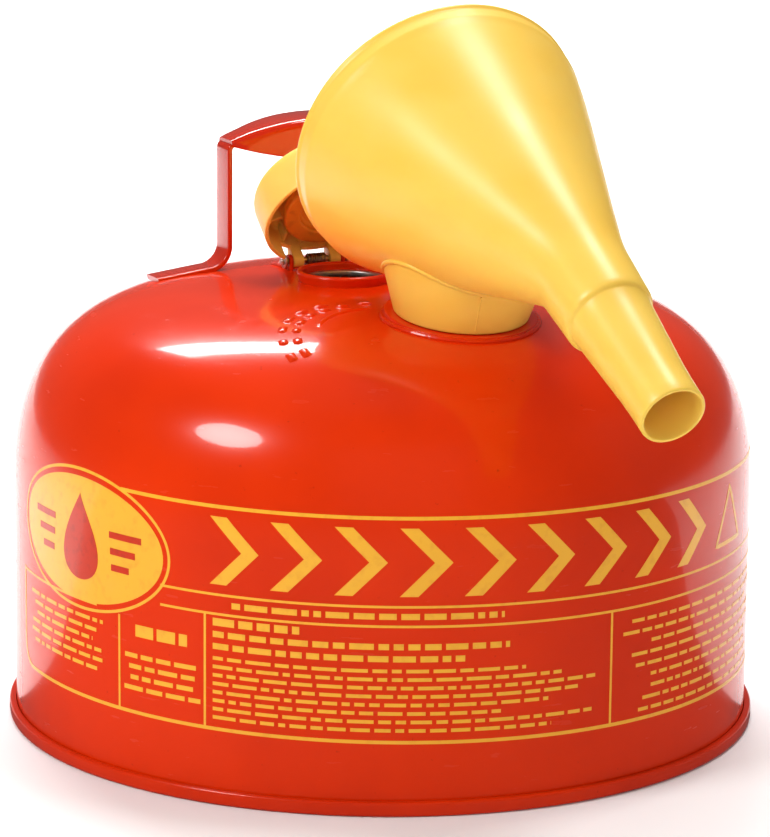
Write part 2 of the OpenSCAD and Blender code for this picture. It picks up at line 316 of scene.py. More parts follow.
def place(obj, body, slot, material, *nodes):
    """Gives a piece its body and finish, and hides the CAD nodes that it stands for. The slot is
    not used.
    """
    obj.data.materials.clear()
    obj.data.materials.append(material)
    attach(obj, body)
    if nodes:
        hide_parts(*nodes)


def turned(name, outline, turn, count, *looks):
    """Turned piece from closed corners of (r, z, radius)."""
    place(new_object(name, lathe(rounded(outline), turn, count)), *looks)


# -------------------- finishes
def linear(red, green, blue):
    """Screen colour from 0 to 255 as a shader colour."""
    return tuple(((c / 255 + 0.055) / 1.055) ** 2.4 if c > 10 else c / 3294.6
                 for c in (red, green, blue)) + (1.0,)


def fill(node, **values):
    """Sets a shader node's inputs. Underscores in their names stand for spaces."""
    for key, value in values.items():
        node.inputs[key.replace("_", " ")].default_value = value


class Finish:
    """A node material that is built up layer by layer on one Principled shader."""

    def __init__(self, name, color, rough, **values):
        self.mat = bpy.data.materials.new(name)
        self.mat.use_nodes = True
        self.tree = self.mat.node_tree
        self.link = self.tree.links.new
        self.shader = self.tree.nodes["Principled BSDF"]
        fill(self.shader, Base_Color=color, Roughness=rough, **values)
        self.color, self.relief = color, None
        self.space = self.tree.nodes.new("ShaderNodeTexCoord").outputs["Object"]

    def node(self, kind, **values):
        node = self.tree.nodes.new(kind)
        fill(node, **values)
        return node

    def noise(self, scale, detail=4.0, stretch=None):
        """Noise in the object's own space, stretched along its axes if asked."""
        source = self.space
        if stretch:
            mapping = self.node("ShaderNodeMapping", Scale=stretch)
            self.link(source, mapping.inputs["Vector"])
            source = mapping.outputs["Vector"]
        node = self.node("ShaderNodeTexNoise", Scale=scale, Detail=detail)
        self.link(source, node.inputs["Vector"])
        return node.outputs["Fac"]

    def ramp(self, source, low, high):
        """Stretches a 0-1 value so that it rises between low and high."""
        node = self.node("ShaderNodeMapRange", From_Min=low, From_Max=high)
        self.link(source, node.inputs["Value"])
        return node.outputs["Result"]

    def tint(self, source, color):
        """Mixes a second colour in where the source is high."""
        mix = self.tree.nodes.new("ShaderNodeMix")
        mix.data_type = "RGBA"
        share, base, top = mix.inputs[0], mix.inputs[6], mix.inputs[7]
        socket = self.shader.inputs["Base Color"]
        if socket.is_linked:
            self.link(socket.links[0].from_socket, base)
        else:
            base.default_value = self.color
        top.default_value = color
        self.link(source, share)
        self.link(mix.outputs[2], socket)

    def roughen(self, source, low, high):
        """Lets the source vary the roughness from low to high."""
        node = self.node("ShaderNodeMapRange", To_Min=low, To_Max=high)
        self.link(source, node.inputs["Value"])
        self.link(node.outputs["Result"], self.shader.inputs["Roughness"])

    def bump(self, source, height_mm, coat=False):
        """Adds relief on top of the relief so far, in the coat too if asked."""
        node = self.node("ShaderNodeBump", Distance=height_mm * MM)
        self.link(source, node.inputs["Height"])
        if self.relief is not None:
            self.link(self.relief, node.inputs["Normal"])
        self.relief = node.outputs["Normal"]
        self.link(self.relief, self.shader.inputs["Normal"])
        if coat:
            self.link(self.relief, self.shader.inputs["Coat Normal"])


def darker(color, share):
    return tuple(c * share for c in color[:3]) + (1.0,)


def enamel(name, color, deep, rough=0.22, coat=0.4):
    """Sprayed gloss enamel: faint orange peel, dust, fine scuffs and thin spots."""
    f = Finish(name, color, rough, Coat_Weight=coat, Coat_Roughness=0.05,
               Specular_IOR_Level=0.18)
    thin_spots, dust = f.noise(9, 3), f.noise(420, 6)
    f.tint(f.ramp(thin_spots, 0.42, 0.78), deep)
    f.tint(f.ramp(dust, 0.70, 0.86), darker(deep, 0.62))
    scuffs = f.ramp(f.noise(60, 8, (1, 1, 6)), 0.60, 0.80)
    f.roughen(scuffs, rough, rough + 0.12)
    f.bump(f.noise(700, 2), 0.006, coat=True)
    f.bump(f.noise(26, 2), 0.05, coat=True)
    return f.mat


def plastic(name, color, deep, rough=0.34, glow=0.12):
    """Moulded translucent plastic with flow marks and a fine matt grain."""
    f = Finish(name, color, rough, Subsurface_Weight=glow, Subsurface_Scale=0.006,
               Specular_IOR_Level=0.45)
    f.shader.inputs["Subsurface Radius"].default_value = (1.0, 0.55, 0.12)
    f.tint(f.ramp(f.noise(14, 3, (1, 1, 2.5)), 0.45, 0.85), deep)
    f.tint(f.ramp(f.noise(900, 4), 0.74, 0.9), darker(deep, 0.8))
    f.roughen(f.noise(45, 5), rough - 0.07, rough + 0.10)
    f.bump(f.noise(1600, 3), 0.008)
    f.bump(f.noise(30, 2), 0.05)
    return f.mat


def metal(name, color, rough=0.34, brushed=(1, 1, 1)):
    """Zinc-plated or spring steel with spangle, brushing and stains."""
    f = Finish(name, color, rough, Metallic=1.0)
    stain = (0.16, 0.10, 0.06, 1.0)
    f.tint(f.ramp(f.noise(120, 5), 0.50, 0.72), darker(color, 0.55))
    f.tint(f.ramp(f.noise(35, 6), 0.66, 0.80), stain)
    f.roughen(f.noise(300, 4, brushed), rough - 0.08, rough + 0.18)
    f.bump(f.noise(900, 3, brushed), 0.01)
    return f.mat


def rubber(name, color, rough=0.6, glow=0.0):
    """Matt rubber or sealing compound with dusty patches."""
    f = Finish(name, color, rough, Specular_IOR_Level=0.35, Subsurface_Weight=glow,
               Subsurface_Scale=0.004)
    f.tint(f.ramp(f.noise(220, 5), 0.55, 0.85), darker(color, 0.7))
    f.roughen(f.noise(90, 4), rough - 0.1, rough + 0.15)
    f.bump(f.noise(1300, 3), 0.02)
    return f.mat


def ink(name, color, deep):
    """Screen-printed ink: slightly uneven cover and a satin surface."""
    f = Finish(name, color, 0.3, Coat_Weight=0.3, Coat_Roughness=0.1)
    f.tint(f.ramp(f.noise(260, 6), 0.52, 0.80), deep)
    f.roughen(f.noise(120, 4), 0.24, 0.42)
    f.bump(f.noise(1500, 2), 0.004)
    return f.mat


RED, RED_DEEP = linear(224, 50, 0), linear(198, 38, 0)
# RED_SHADE is the body red made darker: painted shade on the seam, neck, hinge bracket and funnel
# boss, which sit low or under the lid and funnel.
RED_SHADE, RED_SHADE_DEEP = linear(216, 46, 2), linear(182, 30, 0)
body_enamel = enamel("body_enamel", RED, RED_DEEP)
shaded_trim_enamel = enamel("shaded_trim_enamel", RED_SHADE, RED_SHADE_DEEP, 0.28)
handle_enamel = enamel("handle_enamel", linear(200, 38, 4), linear(166, 26, 2), 0.16, 1.0)
lid_plastic = plastic("lid_plastic", linear(252, 212, 104), linear(247, 198, 74))
carrier_plastic = plastic("carrier_plastic", linear(240, 160, 50), linear(226, 134, 30), 0.42)
funnel_plastic = plastic("funnel_plastic", linear(250, 204, 88), linear(247, 190, 56), 0.32)
gasket_rubber = rubber("gasket_rubber", linear(226, 142, 40), 0.5, 0.15)
ring_rubber = rubber("ring_rubber", linear(24, 22, 22))
# Near-black sealing compound: its colour is painted shade for the seam's groove.
groove_shade_sealant = rubber("groove_shade_sealant", linear(40, 34, 32), 0.7)
plated_steel = metal("plated_steel", linear(196, 196, 190))
spring_steel = metal("spring_steel", linear(168, 168, 166), 0.3, (1, 12, 1))
basket_steel = metal("basket_steel", linear(176, 172, 164), 0.42, (1, 1, 12))
print_yellow = ink("print_yellow", linear(246, 178, 40), linear(234, 158, 34))
print_red = ink("print_red", linear(206, 46, 6), linear(176, 34, 2))


# -------------------- can
def can_shell():
    """Drawn body and dome with its inside, cut open at the neck."""
    steps, wall_steps = 64, 24
    wall = [(WALL_R, WALL_FOOT + (DOME_Z - WALL_FOOT) * i / wall_steps)
            for i in range(wall_steps)]
    heights = [DOME_Z + DOME_H * math.sin(math.pi / 2 * i / steps) ** DOME_PZ
               for i in range(steps)]
    skin = wall + [(wall_at(z), z) for z in heights] + [(0, APEX_Z)]
    shrink = (WALL_R - SHEET) / WALL_R
    lining = [(r * shrink, z if z < DOME_Z else DOME_Z + (z - DOME_Z) * (1 - SHEET / DOME_H))
              for r, z in reversed(skin)]
    obj = new_object("can_shell", lathe(skin + lining, count=240))
    hole_r, low, high = NECK_R + 0.1, LIP_Z - 20, LIP_Z + 5
    carve(obj, lathe([(0, low), (hole_r, low), (hole_r, high), (0, high)], at_neck()))
    crease(obj)
    place(obj, "can", "body_paint", body_enamel, "can_body")


def bottom_seam():
    """Rolled seam and recessed bottom panel."""
    channel = WALL_R - SHEET - 0.2
    panel = corners("bottom_panel")[1].z
    outline = [
        (0, panel - SHEET, 0), (channel - 6, panel - SHEET, 3), (channel - SHEET - 1, 1.4, 2),
        (channel, 0, 0.8), (SEAM_R, 0, 2.3), (SEAM_R, SEAM_H, 2.0), (WALL_R + 0.2, SEAM_H, 0.3),
        (WALL_R + 0.2, SEAM_H - SHEET, 0.1), (SEAM_R - SHEET, SEAM_H - SHEET, 0.8),
        (SEAM_R - SHEET, SHEET, 0.8), (channel, SHEET, 0.3), (channel, panel, 0.4),
        (channel - 5, panel, 1), (0, panel, 0)]
    turned("bottom_seam", outline, UPRIGHT, 240, "can", "bottom_paint", shaded_trim_enamel,
           "bottom_panel")


def seam_sealant():
    """Sealing compound in the seam, near-black as painted shade, so that it shows as the thin dark
    shadow line in the seam's groove.
    """
    low, high = corners("seam_compound")
    inner = WALL_R + 0.15
    outline = [(inner, low.z, 0.3), (high.x, low.z, 0.8), (high.x, high.z, 0.8),
               (inner, high.z, 0.3)]
    turned("seam_sealant", outline, UPRIGHT, 240, "can", "seam_sealant", groove_shade_sealant,
           "seam_compound")


def filler_neck():
    """Neck tube with a rolled lip and a flange under the dome."""
    foot = APEX_Z - SHEET - 5
    roll, flange_r = 1.1, 24
    outline = [Vector(p) for p in [(NECK_BORE, foot), (flange_r, foot), (flange_r, foot + SHEET),
                                   (NECK_R + 0.4, foot + SHEET), (NECK_R, foot + SHEET + 0.5)]]
    for i in range(13):
        a = math.radians(-40 + i * 20)
        outline.append(Vector((NECK_BORE + roll + roll * math.cos(a),
                               LIP_Z - roll + roll * math.sin(a))))
    obj = new_object("filler_neck", lathe(outline, at_neck(), 128))
    place(obj, "can", "neck_paint", shaded_trim_enamel, "neck")


def arrester():
    """Woven wire basket that hangs in the neck."""
    low, high = corners("arrester_basket")
    radius, wire, sides = (high.x - low.x) / 2 - 0.3, 0.28, 6
    foot = low.z + 0.4
    uprights, rows, across = 30, 34, 6
    parts = []
    for i in range(uprights):
        a = 2 * math.pi * i / uprights
        side = Vector((math.cos(a), math.sin(a), 0)) * radius
        parts.append(tube([at_neck(z) @ side for z in (foot, high.z)], wire, sides))
    for i in range(rows):
        ring = circle(radius, foot + (high.z - low.z - 0.8) * i / (rows - 1), 60)
        parts.append(tube([at_neck() @ p for p in ring], wire, sides, closed=True))
    for i in range(-across, across + 1):
        x = i * radius / (across + 0.6)
        reach = math.sqrt(radius ** 2 - x ** 2)
        for ends in ([(x, -reach), (x, reach)], [(-reach, x), (reach, x)]):
            parts.append(tube([at_neck(foot) @ Vector((*p, 0)) for p in ends], wire, sides))
    basket = new_object("arrester_mesh", joined(*parts))
    place(basket, "can", "basket_steel", basket_steel, "arrester_basket")


def arrester_clamp():
    """Ring that holds the basket in the neck."""
    low, high = corners("arrester_ring")
    out, wide = (high.x - low.x) / 2, 2.2
    outline = [(out - wide, low.z, 0.4), (out, low.z, 0.2), (out, high.z, 0.5),
               (out - wide, high.z, 0.8)]
    turned("arrester_clamp", outline, at_neck(), 96, "can", "basket_steel", plated_steel,
           "arrester_ring")


EMBOSS_AT = Vector((-22, -78))
EMBOSS_H = 0.9
# Radius, first and last angle, number and mean length of the dashes in each row.
EMBOSS_ROWS = ((49.5, 112, 178, 6, 5.5), (44.4, 92, 178, 8, 5))


def raised_dash(radius, angle, length, width, height=EMBOSS_H):
    """Soft-edged ridge on the dome along an arc about the embossing's centre."""
    rows, columns = max(8, int(length / 1.2)), 8
    verts, faces = [], []
    for i in range(rows + 1):
        for k in range(columns + 1):
            u, v = 2 * i / rows - 1, 2 * k / columns - 1
            theta = angle + u * length / 2 / radius
            r = radius + v * width / 2
            fall = max(0.0, 1 - abs(u) ** 5) * (1 - v * v)
            at = EMBOSS_AT + Vector((math.cos(theta), math.sin(theta))) * r
            verts.append(on_dome(at.x, at.y, height * fall - 0.05))
    for i in range(rows):
        for k in range(columns):
            a = i * (columns + 1) + k
            faces.append((a, a + 1, a + columns + 2, a + columns + 1))
    return verts, faces


def embossing():
    """Plain pressed dashes beside the funnel boss, in two rows with a ridge inside."""
    dashes = []
    for radius, first, last, count, length in EMBOSS_ROWS:
        for i in range(count):
            angle = math.radians(first + (last - first) * i / (count - 1))
            dashes.append(raised_dash(radius, angle, length * rng.uniform(0.75, 1.2), 3.6))
    dashes.append(raised_dash(37, math.radians(120), 36, 2.4, 0.7))
    obj = new_object("dome_embossing", joined(*dashes), 60)
    place(obj, "can", "body_paint", body_enamel)


# -------------------- printed label
# Angles are in degrees from the middle of the label, and heights in millimetres.
LABEL_TILT = -0.0102
PRINT_LIFT = 0.09
LEFT_EDGE, RIGHT_EDGE = -71, 92
TOP_EDGE, BOTTOM_EDGE = 108, 27
RULE_Z, RULE_W = 69.2, 0.9
OVAL_PHI, OVAL_Z, OVAL_W, OVAL_H = -51, 85.5, 45.5, 25.5


def label_point(phi, z, lift):
    """Point of the label at an angle and a height, lifted off the wall."""
    angle = math.radians(phi) + VIEW_TURN
    return on_wall(angle, z + LABEL_TILT * WALL_R * math.radians(phi), lift)


def slab(grid, wrap=False, lift=PRINT_LIFT):
    """Thin closed sheet of ink over a grid of (phi, z) rows that follow the wall."""
    rows, columns = len(grid), len(grid[0])
    verts = [label_point(phi, z, h) for h in (lift, lift - PRINT_LIFT)
             for row in grid for phi, z in row]
    under = rows * columns
    faces = []
    for i in range(rows if wrap else rows - 1):
        a, b = i * columns, (i + 1) % rows * columns
        for k in range(columns - 1):
            faces.append((a + k, a + k + 1, b + k + 1, b + k))
            faces.append((under + b + k, under + b + k + 1, under + a + k + 1, under + a + k))
        for k in (0, columns - 1):
            faces.append((a + k, b + k, under + b + k, under + a + k))
    if not wrap:
        for a in (0, (rows - 1) * columns):
            for k in range(columns - 1):
                faces.append((a + k, a + k + 1, under + a + k + 1, under + a + k))
    return verts, faces


def degrees(mm):
    """Angle that a length on the wall spans."""
    return math.degrees(mm / WALL_R)


def bar(phi_a, z_a, phi_b, z_b, width):
    """Straight printed stroke between two label points."""
    along = Vector(((phi_b - phi_a) / degrees(1), z_b - z_a))
    count = max(2, int(along.length / 3))
    side = Vector((-along.y, along.x)).normalized() * width / 2
    return slab([[(phi_a + (phi_b - phi_a) * i / count + s * degrees(side.x),
                   z_a + (z_b - z_a) * i / count + s * side.y) for s in (-1, 1)]
                 for i in range(count + 1)])


def chevron(phi, low, high, reach, width):
    """Flat-ended printed arrow head that points to the right."""
    half, steps = (low + high) / 2, 8
    rows = []
    for i in range(2 * steps + 1):
        z = low + (high - low) * i / (2 * steps)
        tip = phi + reach * (1 - abs(z - half) / (high - half))
        rows.append([(tip, z), (tip + degrees(width), z)])
    return slab(rows)


def outline_stroke(path, width, wrap=True):
    """Printed line along a path of (phi, z)."""
    rows = []
    for i, (phi, z) in enumerate(path):
        if wrap:
            a, b = path[i - 1], path[(i + 1) % len(path)]
        else:
            a, b = path[max(i - 1, 0)], path[min(i + 1, len(path) - 1)]
        along = Vector(((b[0] - a[0]) / degrees(1), b[1] - a[1])).normalized()
        rows.append([(phi + degrees(-along.y) * s * width / 2, z + along.x * s * width / 2)
                     for s in (-1, 1)])
    return slab(rows, wrap)


def disc(outline, lift=PRINT_LIFT, rings=6):
    """Filled shape, fanned from its centre."""
    cx = sum(p[0] for p in outline) / len(outline)
    cz = sum(p[1] for p in outline) / len(outline)
    return slab([[(cx + (x - cx) * k / rings, cz + (z - cz) * k / rings)
                  for k in range(rings + 1)] for x, z in outline], True, lift)


def ellipse(phi, z, half_w, half_h, count=96):
    return [(phi + degrees(half_w * math.cos(a)), z + half_h * math.sin(a))
            for a in (2 * math.pi * i / count for i in range(count))]


def text_rows(phi_a, phi_b, z_top, z_low, pitch, height, centred=False):
    """Rows of plain dashes of uneven length, in place of small print."""
    parts = []
    z = z_top
    while z > z_low:
        reach = (phi_b - phi_a) * rng.uniform(0.72, 1.0)
        start = (phi_a + phi_b - reach) / 2 if centred else phi_a
        phi = start
        while phi < start + reach:
            width = degrees(rng.uniform(2.5, 9.5))
            end = min(phi + width, start + reach)
            parts.append(bar(phi, z, end, z, height))
            phi = end + degrees(1.6)
        z -= pitch
    return parts


def frame_line():
    """Border round the label, open where the oval is, with rounded lower corners."""
    bend = 9
    path = [(LEFT_EDGE, z) for z in range(64, BOTTOM_EDGE + bend, -2)]
    for i in range(10):
        a = math.radians(10 * i)
        path.append((LEFT_EDGE + degrees(bend * (1 - math.cos(a))),
                     BOTTOM_EDGE + bend * (1 - math.sin(a))))
    right = [(LEFT_EDGE + RIGHT_EDGE - phi, z) for phi, z in reversed(path)]
    path += [(phi, BOTTOM_EDGE) for phi in range(LEFT_EDGE + 6, RIGHT_EDGE - 5)] + right
    path += [(RIGHT_EDGE, z) for z in range(66, TOP_EDGE, 2)]
    return path + [(phi, TOP_EDGE) for phi in range(RIGHT_EDGE, -43, -1)]


def label_lines():
    """Border, level rules and upright column lines."""
    rules = ((-34, RIGHT_EDGE, 76.3), (-34, RIGHT_EDGE, RULE_Z), (LEFT_EDGE, -47, 63))
    columns = ((-42, 62), (-26.3, RULE_Z), (36, RULE_Z))
    return ([outline_stroke(frame_line(), 1.3, False)]
            + [bar(left, z, right, z, RULE_W) for left, right, z in rules]
            + [bar(phi, BOTTOM_EDGE, phi, top, RULE_W) for phi, top in columns])


def chevrons():
    """Arrow heads in place of the large lettering."""
    return [chevron(-25.5 + i * 9.4, 80, 104.5, 5, 6.5) for i in range(9)]


def small_print():
    """Blocks of dashes: left, right, top, lowest row, pitch and height of a dash."""
    ragged = ((-22, 33, 72.8, 70.5, 5, 2.2), (-25, -11, 66.3, 64, 5, 2.8),
              (-25, 22, 61.8, 56, 4.4, 2.2), (-25, 34, 53, 30, 3.1, 1.3))
    centred = ((-40, -28, 57.5, 55, 6, 4.4), (-41, -27, 48, 34, 4, 1.7),
               (-68, -45, 57, 36, 3.6, 1.4), (38, 84, 64, 30, 4.2, 1.3))
    parts = []
    for block in ragged:
        parts += text_rows(*block)
    for block in centred:
        parts += text_rows(*block, True)
    return parts


def triangle():
    """Triangle outline near the right edge, with points along its straight sides."""
    phi, low, high, half, steps = 66, 82, 103, 12, 12
    tips = [(phi + degrees(x), z) for x, z in ((-half, low), (half, low), (0, high))]
    path = [(a[0] + (b[0] - a[0]) * k / steps, a[1] + (b[1] - a[1]) * k / steps)
            for a, b in zip(tips, tips[1:] + tips[:1]) for k in range(steps)]
    return outline_stroke(path, 1.6)


def oval():
    """Filled oval inside a thin line."""
    gap = 2.6
    return [disc(ellipse(OVAL_PHI, OVAL_Z, OVAL_W - gap, OVAL_H - gap)),
            outline_stroke(ellipse(OVAL_PHI, OVAL_Z, OVAL_W, OVAL_H), 1.1)]


def over_bar(phi_a, phi_b, z, width):
    """Level bar of ink over another print."""
    count = 6
    return slab([[(phi_a + (phi_b - phi_a) * i / count, z + s * width / 2) for s in (-1, 1)]
                 for i in range(count + 1)], False, 2 * PRINT_LIFT)


def droplet():
    """Drop over the oval, with three shrinking dashes on each side."""
    half_w, half_h, taper, count = 15, 16, 1.4, 60
    outline = [(OVAL_PHI - degrees(half_w * math.sin(a) * math.sin(a / 2) ** taper),
                OVAL_Z + 1 + half_h * math.cos(a))
               for a in (2 * math.pi * i / count for i in range(count))]
    marks = [disc(outline, 2 * PRINT_LIFT)]
    for side in (-1, 1):
        for row in range(3):
            near, far = side * degrees(17 + row * 0.5), side * degrees(33 - row * 3)
            marks.append(over_bar(OVAL_PHI + near, OVAL_PHI + far, OVAL_Z + 5 - 6 * row, 2.4))
    return marks


def label():
    """Plain graphics in the places of the printed label."""
    parts = label_lines() + chevrons() + small_print() + [triangle()] + oval()
    place(new_object("label_print", joined(*parts), 60), "can", "label_print", print_yellow)
    place(new_object("label_droplet", joined(*droplet()), 60), "can", "body_paint", print_red)


# -------------------- hinge
def bevelled(node, name, body, slot, material, width):
    """Copy of a CAD node with softened edges."""
    obj = linked(name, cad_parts[node].data.copy())
    edit = bmesh.new()
    edit.from_mesh(obj.data)
    bmesh.ops.remove_doubles(edit, verts=edit.verts, dist=2e-6)
    bmesh.ops.dissolve_limit(edit, angle_limit=math.radians(3), verts=edit.verts, edges=edit.edges)
    edit.to_mesh(obj.data)
    edit.free()
    soften(obj, width, 40)
    crease(obj)
    place(obj, body, slot, material, node)


def hinge():
    """Bracket, headed pin and the clip on the pin's other end."""
    bevelled("hinge_bracket", "hinge_plate", "can", "bracket_paint", shaded_trim_enamel, 0.25)
    low, high = corners("hinge_pin")
    turn = Matrix.Translation((0, HINGE.y, HINGE.z)) @ Matrix.Rotation(math.pi / 2, 4, "Y")
    head = 1.4
    pin = [(0, low.x, 0), (PIN_R, low.x, 0.5), (PIN_R, high.x - head, 0.2),
           (PIN_HEAD_R, high.x - head, 0.3), (PIN_HEAD_R, high.x, 1.1), (0, high.x, 0)]
    turned("hinge_axle", pin, turn, 40, "can", "hardware_steel", plated_steel, "hinge_pin")
    low, high = corners("pin_clip")
    bore = PIN_R + 0.02
    clip = [(bore, low.x, 0.1), (CLIP_R, low.x, 0.25), (CLIP_R, high.x, 0.25),
            (bore, high.x, 0.1)]
    turned("axle_clip", clip, turn, 40, "can", "hardware_steel", plated_steel, "pin_clip")


def torsion_spring():
    """Coil on the pin, with a foot on the bracket and an arm under the open lid."""
    wire, mean, turns, half, turn_steps = 0.48, 2.1, 8.5, 4.0, 28
    count = int(turns * turn_steps)
    coil = []
    for i in range(count + 1):
        a = 2 * math.pi * turns * i / count - math.pi / 2
        coil.append(HINGE + Vector((half - 2 * half * i / count, mean * math.cos(a),
                                    mean * math.sin(a))))
    foot = [coil[0] + Vector((0, y, 0)) for y in (10.5, 8, 5.5, 3, 1.2)]
    lean = LID_OPEN - math.radians(6)
    rise = Vector((0, math.sin(lean), math.cos(lean)))
    start = HINGE + Vector((-half, mean * math.cos(LID_OPEN), -mean * math.sin(LID_OPEN)))
    while (coil[-1] - start).length > 0.6 and len(coil) > count // 2:
        coil.pop()
    arm = [start + rise * d for d in (1.5, 3, 5, 7.8)]
    spring = new_object("lid_torsion_spring", tube(foot + coil + arm, wire, 10))
    place(spring, "can", "spring_steel", spring_steel, "lid_spring")


# -------------------- lid
def box_part(low, high):
    """Axis-aligned block as (verts, faces)."""
    ring = [[Vector((x, y, z)) for x, y in ((low[0], low[1]), (high[0], low[1]),
                                            (high[0], high[1]), (low[0], high[1]))]
            for z in (low[2], high[2])]
    return loft(ring)


def knuckles():
    """Two hinge knuckles, each a rounded block with a flat web into the cap."""
    y, web_z = LID_R - 0.5, LID_Z + 8.4
    side_view = [Vector((0, y + KNUCKLE_R * math.cos(a), HINGE.z + KNUCKLE_R * math.sin(a)))
                 for a in (math.radians(t) for t in range(-180, 1, 12))]
    side_view += [Vector((0, y + KNUCKLE_R, HINGE.z + 3)), Vector((0, y - 0.2, web_z)),
                  Vector((0, y - KNUCKLE_R, web_z))]
    return [loft([[p + Vector((side * x, 0, 0)) for p in side_view]
                  for x in (KNUCKLE_IN, KNUCKLE_OUT)]) for side in (-1, 1)]


def ribs():
    """Spokes round the carrier, and straight ribs beside the notch."""
    low, high, start = DECK_Z - RIB_DEEP, DECK_Z + 0.2, CARRIER_R + 0.5
    parts = []
    for angle in range(150, 391, 30):
        spoke = box_part((start, -RIB_T / 2, low), (LID_INNER + 0.2, RIB_T / 2, high))
        parts.append(moved(spoke, Matrix.Rotation(math.radians(angle), 4, "Z")))
    for x in (-12.3, -4.7, 4.7, 12.3):
        end = math.sqrt(LID_INNER ** 2 - x ** 2) + 0.2
        parts.append(box_part((x - RIB_T / 2, start, low), (x + RIB_T / 2, end, high)))
    return parts


def lift_tab():
    """Rounded tab at the front of the cap, with three grip ridges."""
    half, out, thick, root = 9, LID_R + 5.5, 2.4, LID_R - 2.2
    shape = rounded([(-half, -root, 0), (-half, -out, 3), (half, -out, 3), (half, -root, 0)], 6)
    parts = [loft([[Vector((p.x, p.y, z)) for p in shape]
                   for z in (LID_Z, LID_Z + thick - 0.4)])]
    for i in range(3):
        y = -LID_R - 1.4 - i * 1.4
        parts.append(box_part((-6, y - 0.3, LID_Z + thick - 0.5), (6, y + 0.3, LID_Z + thick)))
    return parts


def lid():
    """Moulded cap with notch, knuckles, ribs and lift tab, drawn closed and swung open."""
    cap = new_object("lid_shell", lathe(rounded([
        (0, LID_TOP - 0.6, 0), (11, LID_TOP - 0.6, 1), (12.5, LID_TOP, 1), (LID_R, LID_TOP, 5),
        (LID_R, LID_Z, 0.6), (LID_INNER, LID_Z, 0.6), (LID_INNER, DECK_Z, 3.4),
        (0, DECK_Z, 0)], 8), count=144))
    carve(cap, box_part((-NOTCH_HALF, 5, LID_Z - 2), (NOTCH_HALF, 40, LID_Z + NOTCH_H)))
    foot = DECK_Z - 2.4
    hub = lathe(rounded([(2.1, foot, 0.2), (3.4, foot, 0.4), (5, DECK_Z + 0.2, 0.3),
                         (2.1, DECK_Z + 0.2, 0)]), count=48)
    more = new_object("lid_details", joined(*knuckles(), *ribs(), hub, *lift_tab()))
    soften(more, 0.25)
    crease(cap)
    crease(more)
    bore_r, low, high = 2.06, LID_Z - 1, LID_TOP + 1
    carve(cap, lathe([(0, low), (bore_r, low), (bore_r, high), (0, high)]))
    for obj in (cap, more):
        fit = swing()
        fit.translation = fit.translation * MM
        obj.data.transform(fit)
        place(obj, "lid", "lid_plastic", lid_plastic, "lid_cap")


def relief():
    """Seal carrier, gasket, rivet and washer on the lid's axis."""
    bore, top, seal_in, seal_out = RIVET_R + 0.02, CARRIER_TOP, 13.4, 19.4
    carrier = [
        (bore, CARRIER_Z, 0), (5.6, CARRIER_Z, 0.6), (6.4, CARRIER_Z + 0.5, 0.3),
        (11.8, CARRIER_Z + 0.5, 0.3), (12.6, CARRIER_Z, 0.4), (CARRIER_R, CARRIER_Z, 0.5),
        (CARRIER_R, top, 0.5), (bore, top, 0)]
    turned("seal_disc", carrier, swing(), 128, "relief", "carrier_plastic", carrier_plastic,
           "seal_carrier")
    gasket = [(seal_in, SEAT_Z, 0.9), (seal_out, SEAT_Z, 0.9), (seal_out, CARRIER_Z, 0.4),
              (seal_in, CARRIER_Z, 0.4)]
    turned("seal_ring", gasket, swing(), 128, "relief", "gasket_rubber", gasket_rubber,
           "lid_gasket")
    head, head_r = 1.2, 3.6
    low, high = CARRIER_Z - head, LID_TOP + 0.1
    rivet = [
        (0, low, 0), (head_r, low, 0.8), (head_r, CARRIER_Z, 0.1), (RIVET_R, CARRIER_Z, 0),
        (RIVET_R, high, 0), (5, high, 0.4), (3.4, high + head, 0.8), (0, high + head, 0)]
    turned("relief_stem", rivet, swing(), 64, "relief", "hardware_steel", plated_steel,
           "relief_rivet")
    cup_in, cup_r = 2.1, 6.4
    cup = [(cup_in, top, 0.1), (cup_r, top, 0.2), (cup_r, top + CUP_T, 0.2),
           (cup_in, top + CUP_T, 0.1)]
    turned("spring_washer", cup, swing(), 64, "relief", "hardware_steel", plated_steel,
           "spring_cup")


def relief_coil():
    """Spring between the washer and the lid's deck."""
    wire, mean, turns, turn_steps = 0.5, 4.3, 4.5, 32
    low, high = CARRIER_TOP + CUP_T + 0.55, DECK_Z - 0.55
    count = int(turns * turn_steps)
    coil = [swing() @ Vector((mean * math.cos(a), mean * math.sin(a), low + (high - low) * k))
            for k, a in ((i / count, 2 * math.pi * turns * i / count) for i in range(count + 1))]
    spring = new_object("relief_coil", tube(coil, wire, 10))
    place(spring, "lid", "spring_steel", spring_steel, "relief_spring")


# -------------------- handle
def grip_section(x):
    """Cross-section of the grip: a channel whose cheeks are deepest in the middle."""
    s = x / HANDLE_HALF
    skin, edge_r = 1.8, 0.8
    half = STRAP_W / 2 + (GRIP_W - STRAP_W) / 2 * (1 - s * s)
    top = HANDLE_CORNER + (HANDLE_TOP - HANDLE_CORNER) * (1 - abs(s) ** 2.2)
    low = HANDLE_CORNER - 1.2 - 6.3 * (1 - s * s)
    edge = min(3.2, (top - low) * 0.45)
    roof, roof_r = max(low + 0.3, top - skin), max(0.2, edge - skin)
    outline = rounded([
        (-half, low, edge_r), (-half, top, edge), (half, top, edge), (half, low, edge_r),
        (half - skin, low, 0.6), (half - skin, roof, roof_r), (skin - half, roof, roof_r),
        (skin - half, low, 0.6)])
    return [Vector((x, HANDLE_Y + p.x, p.y)) for p in outline]


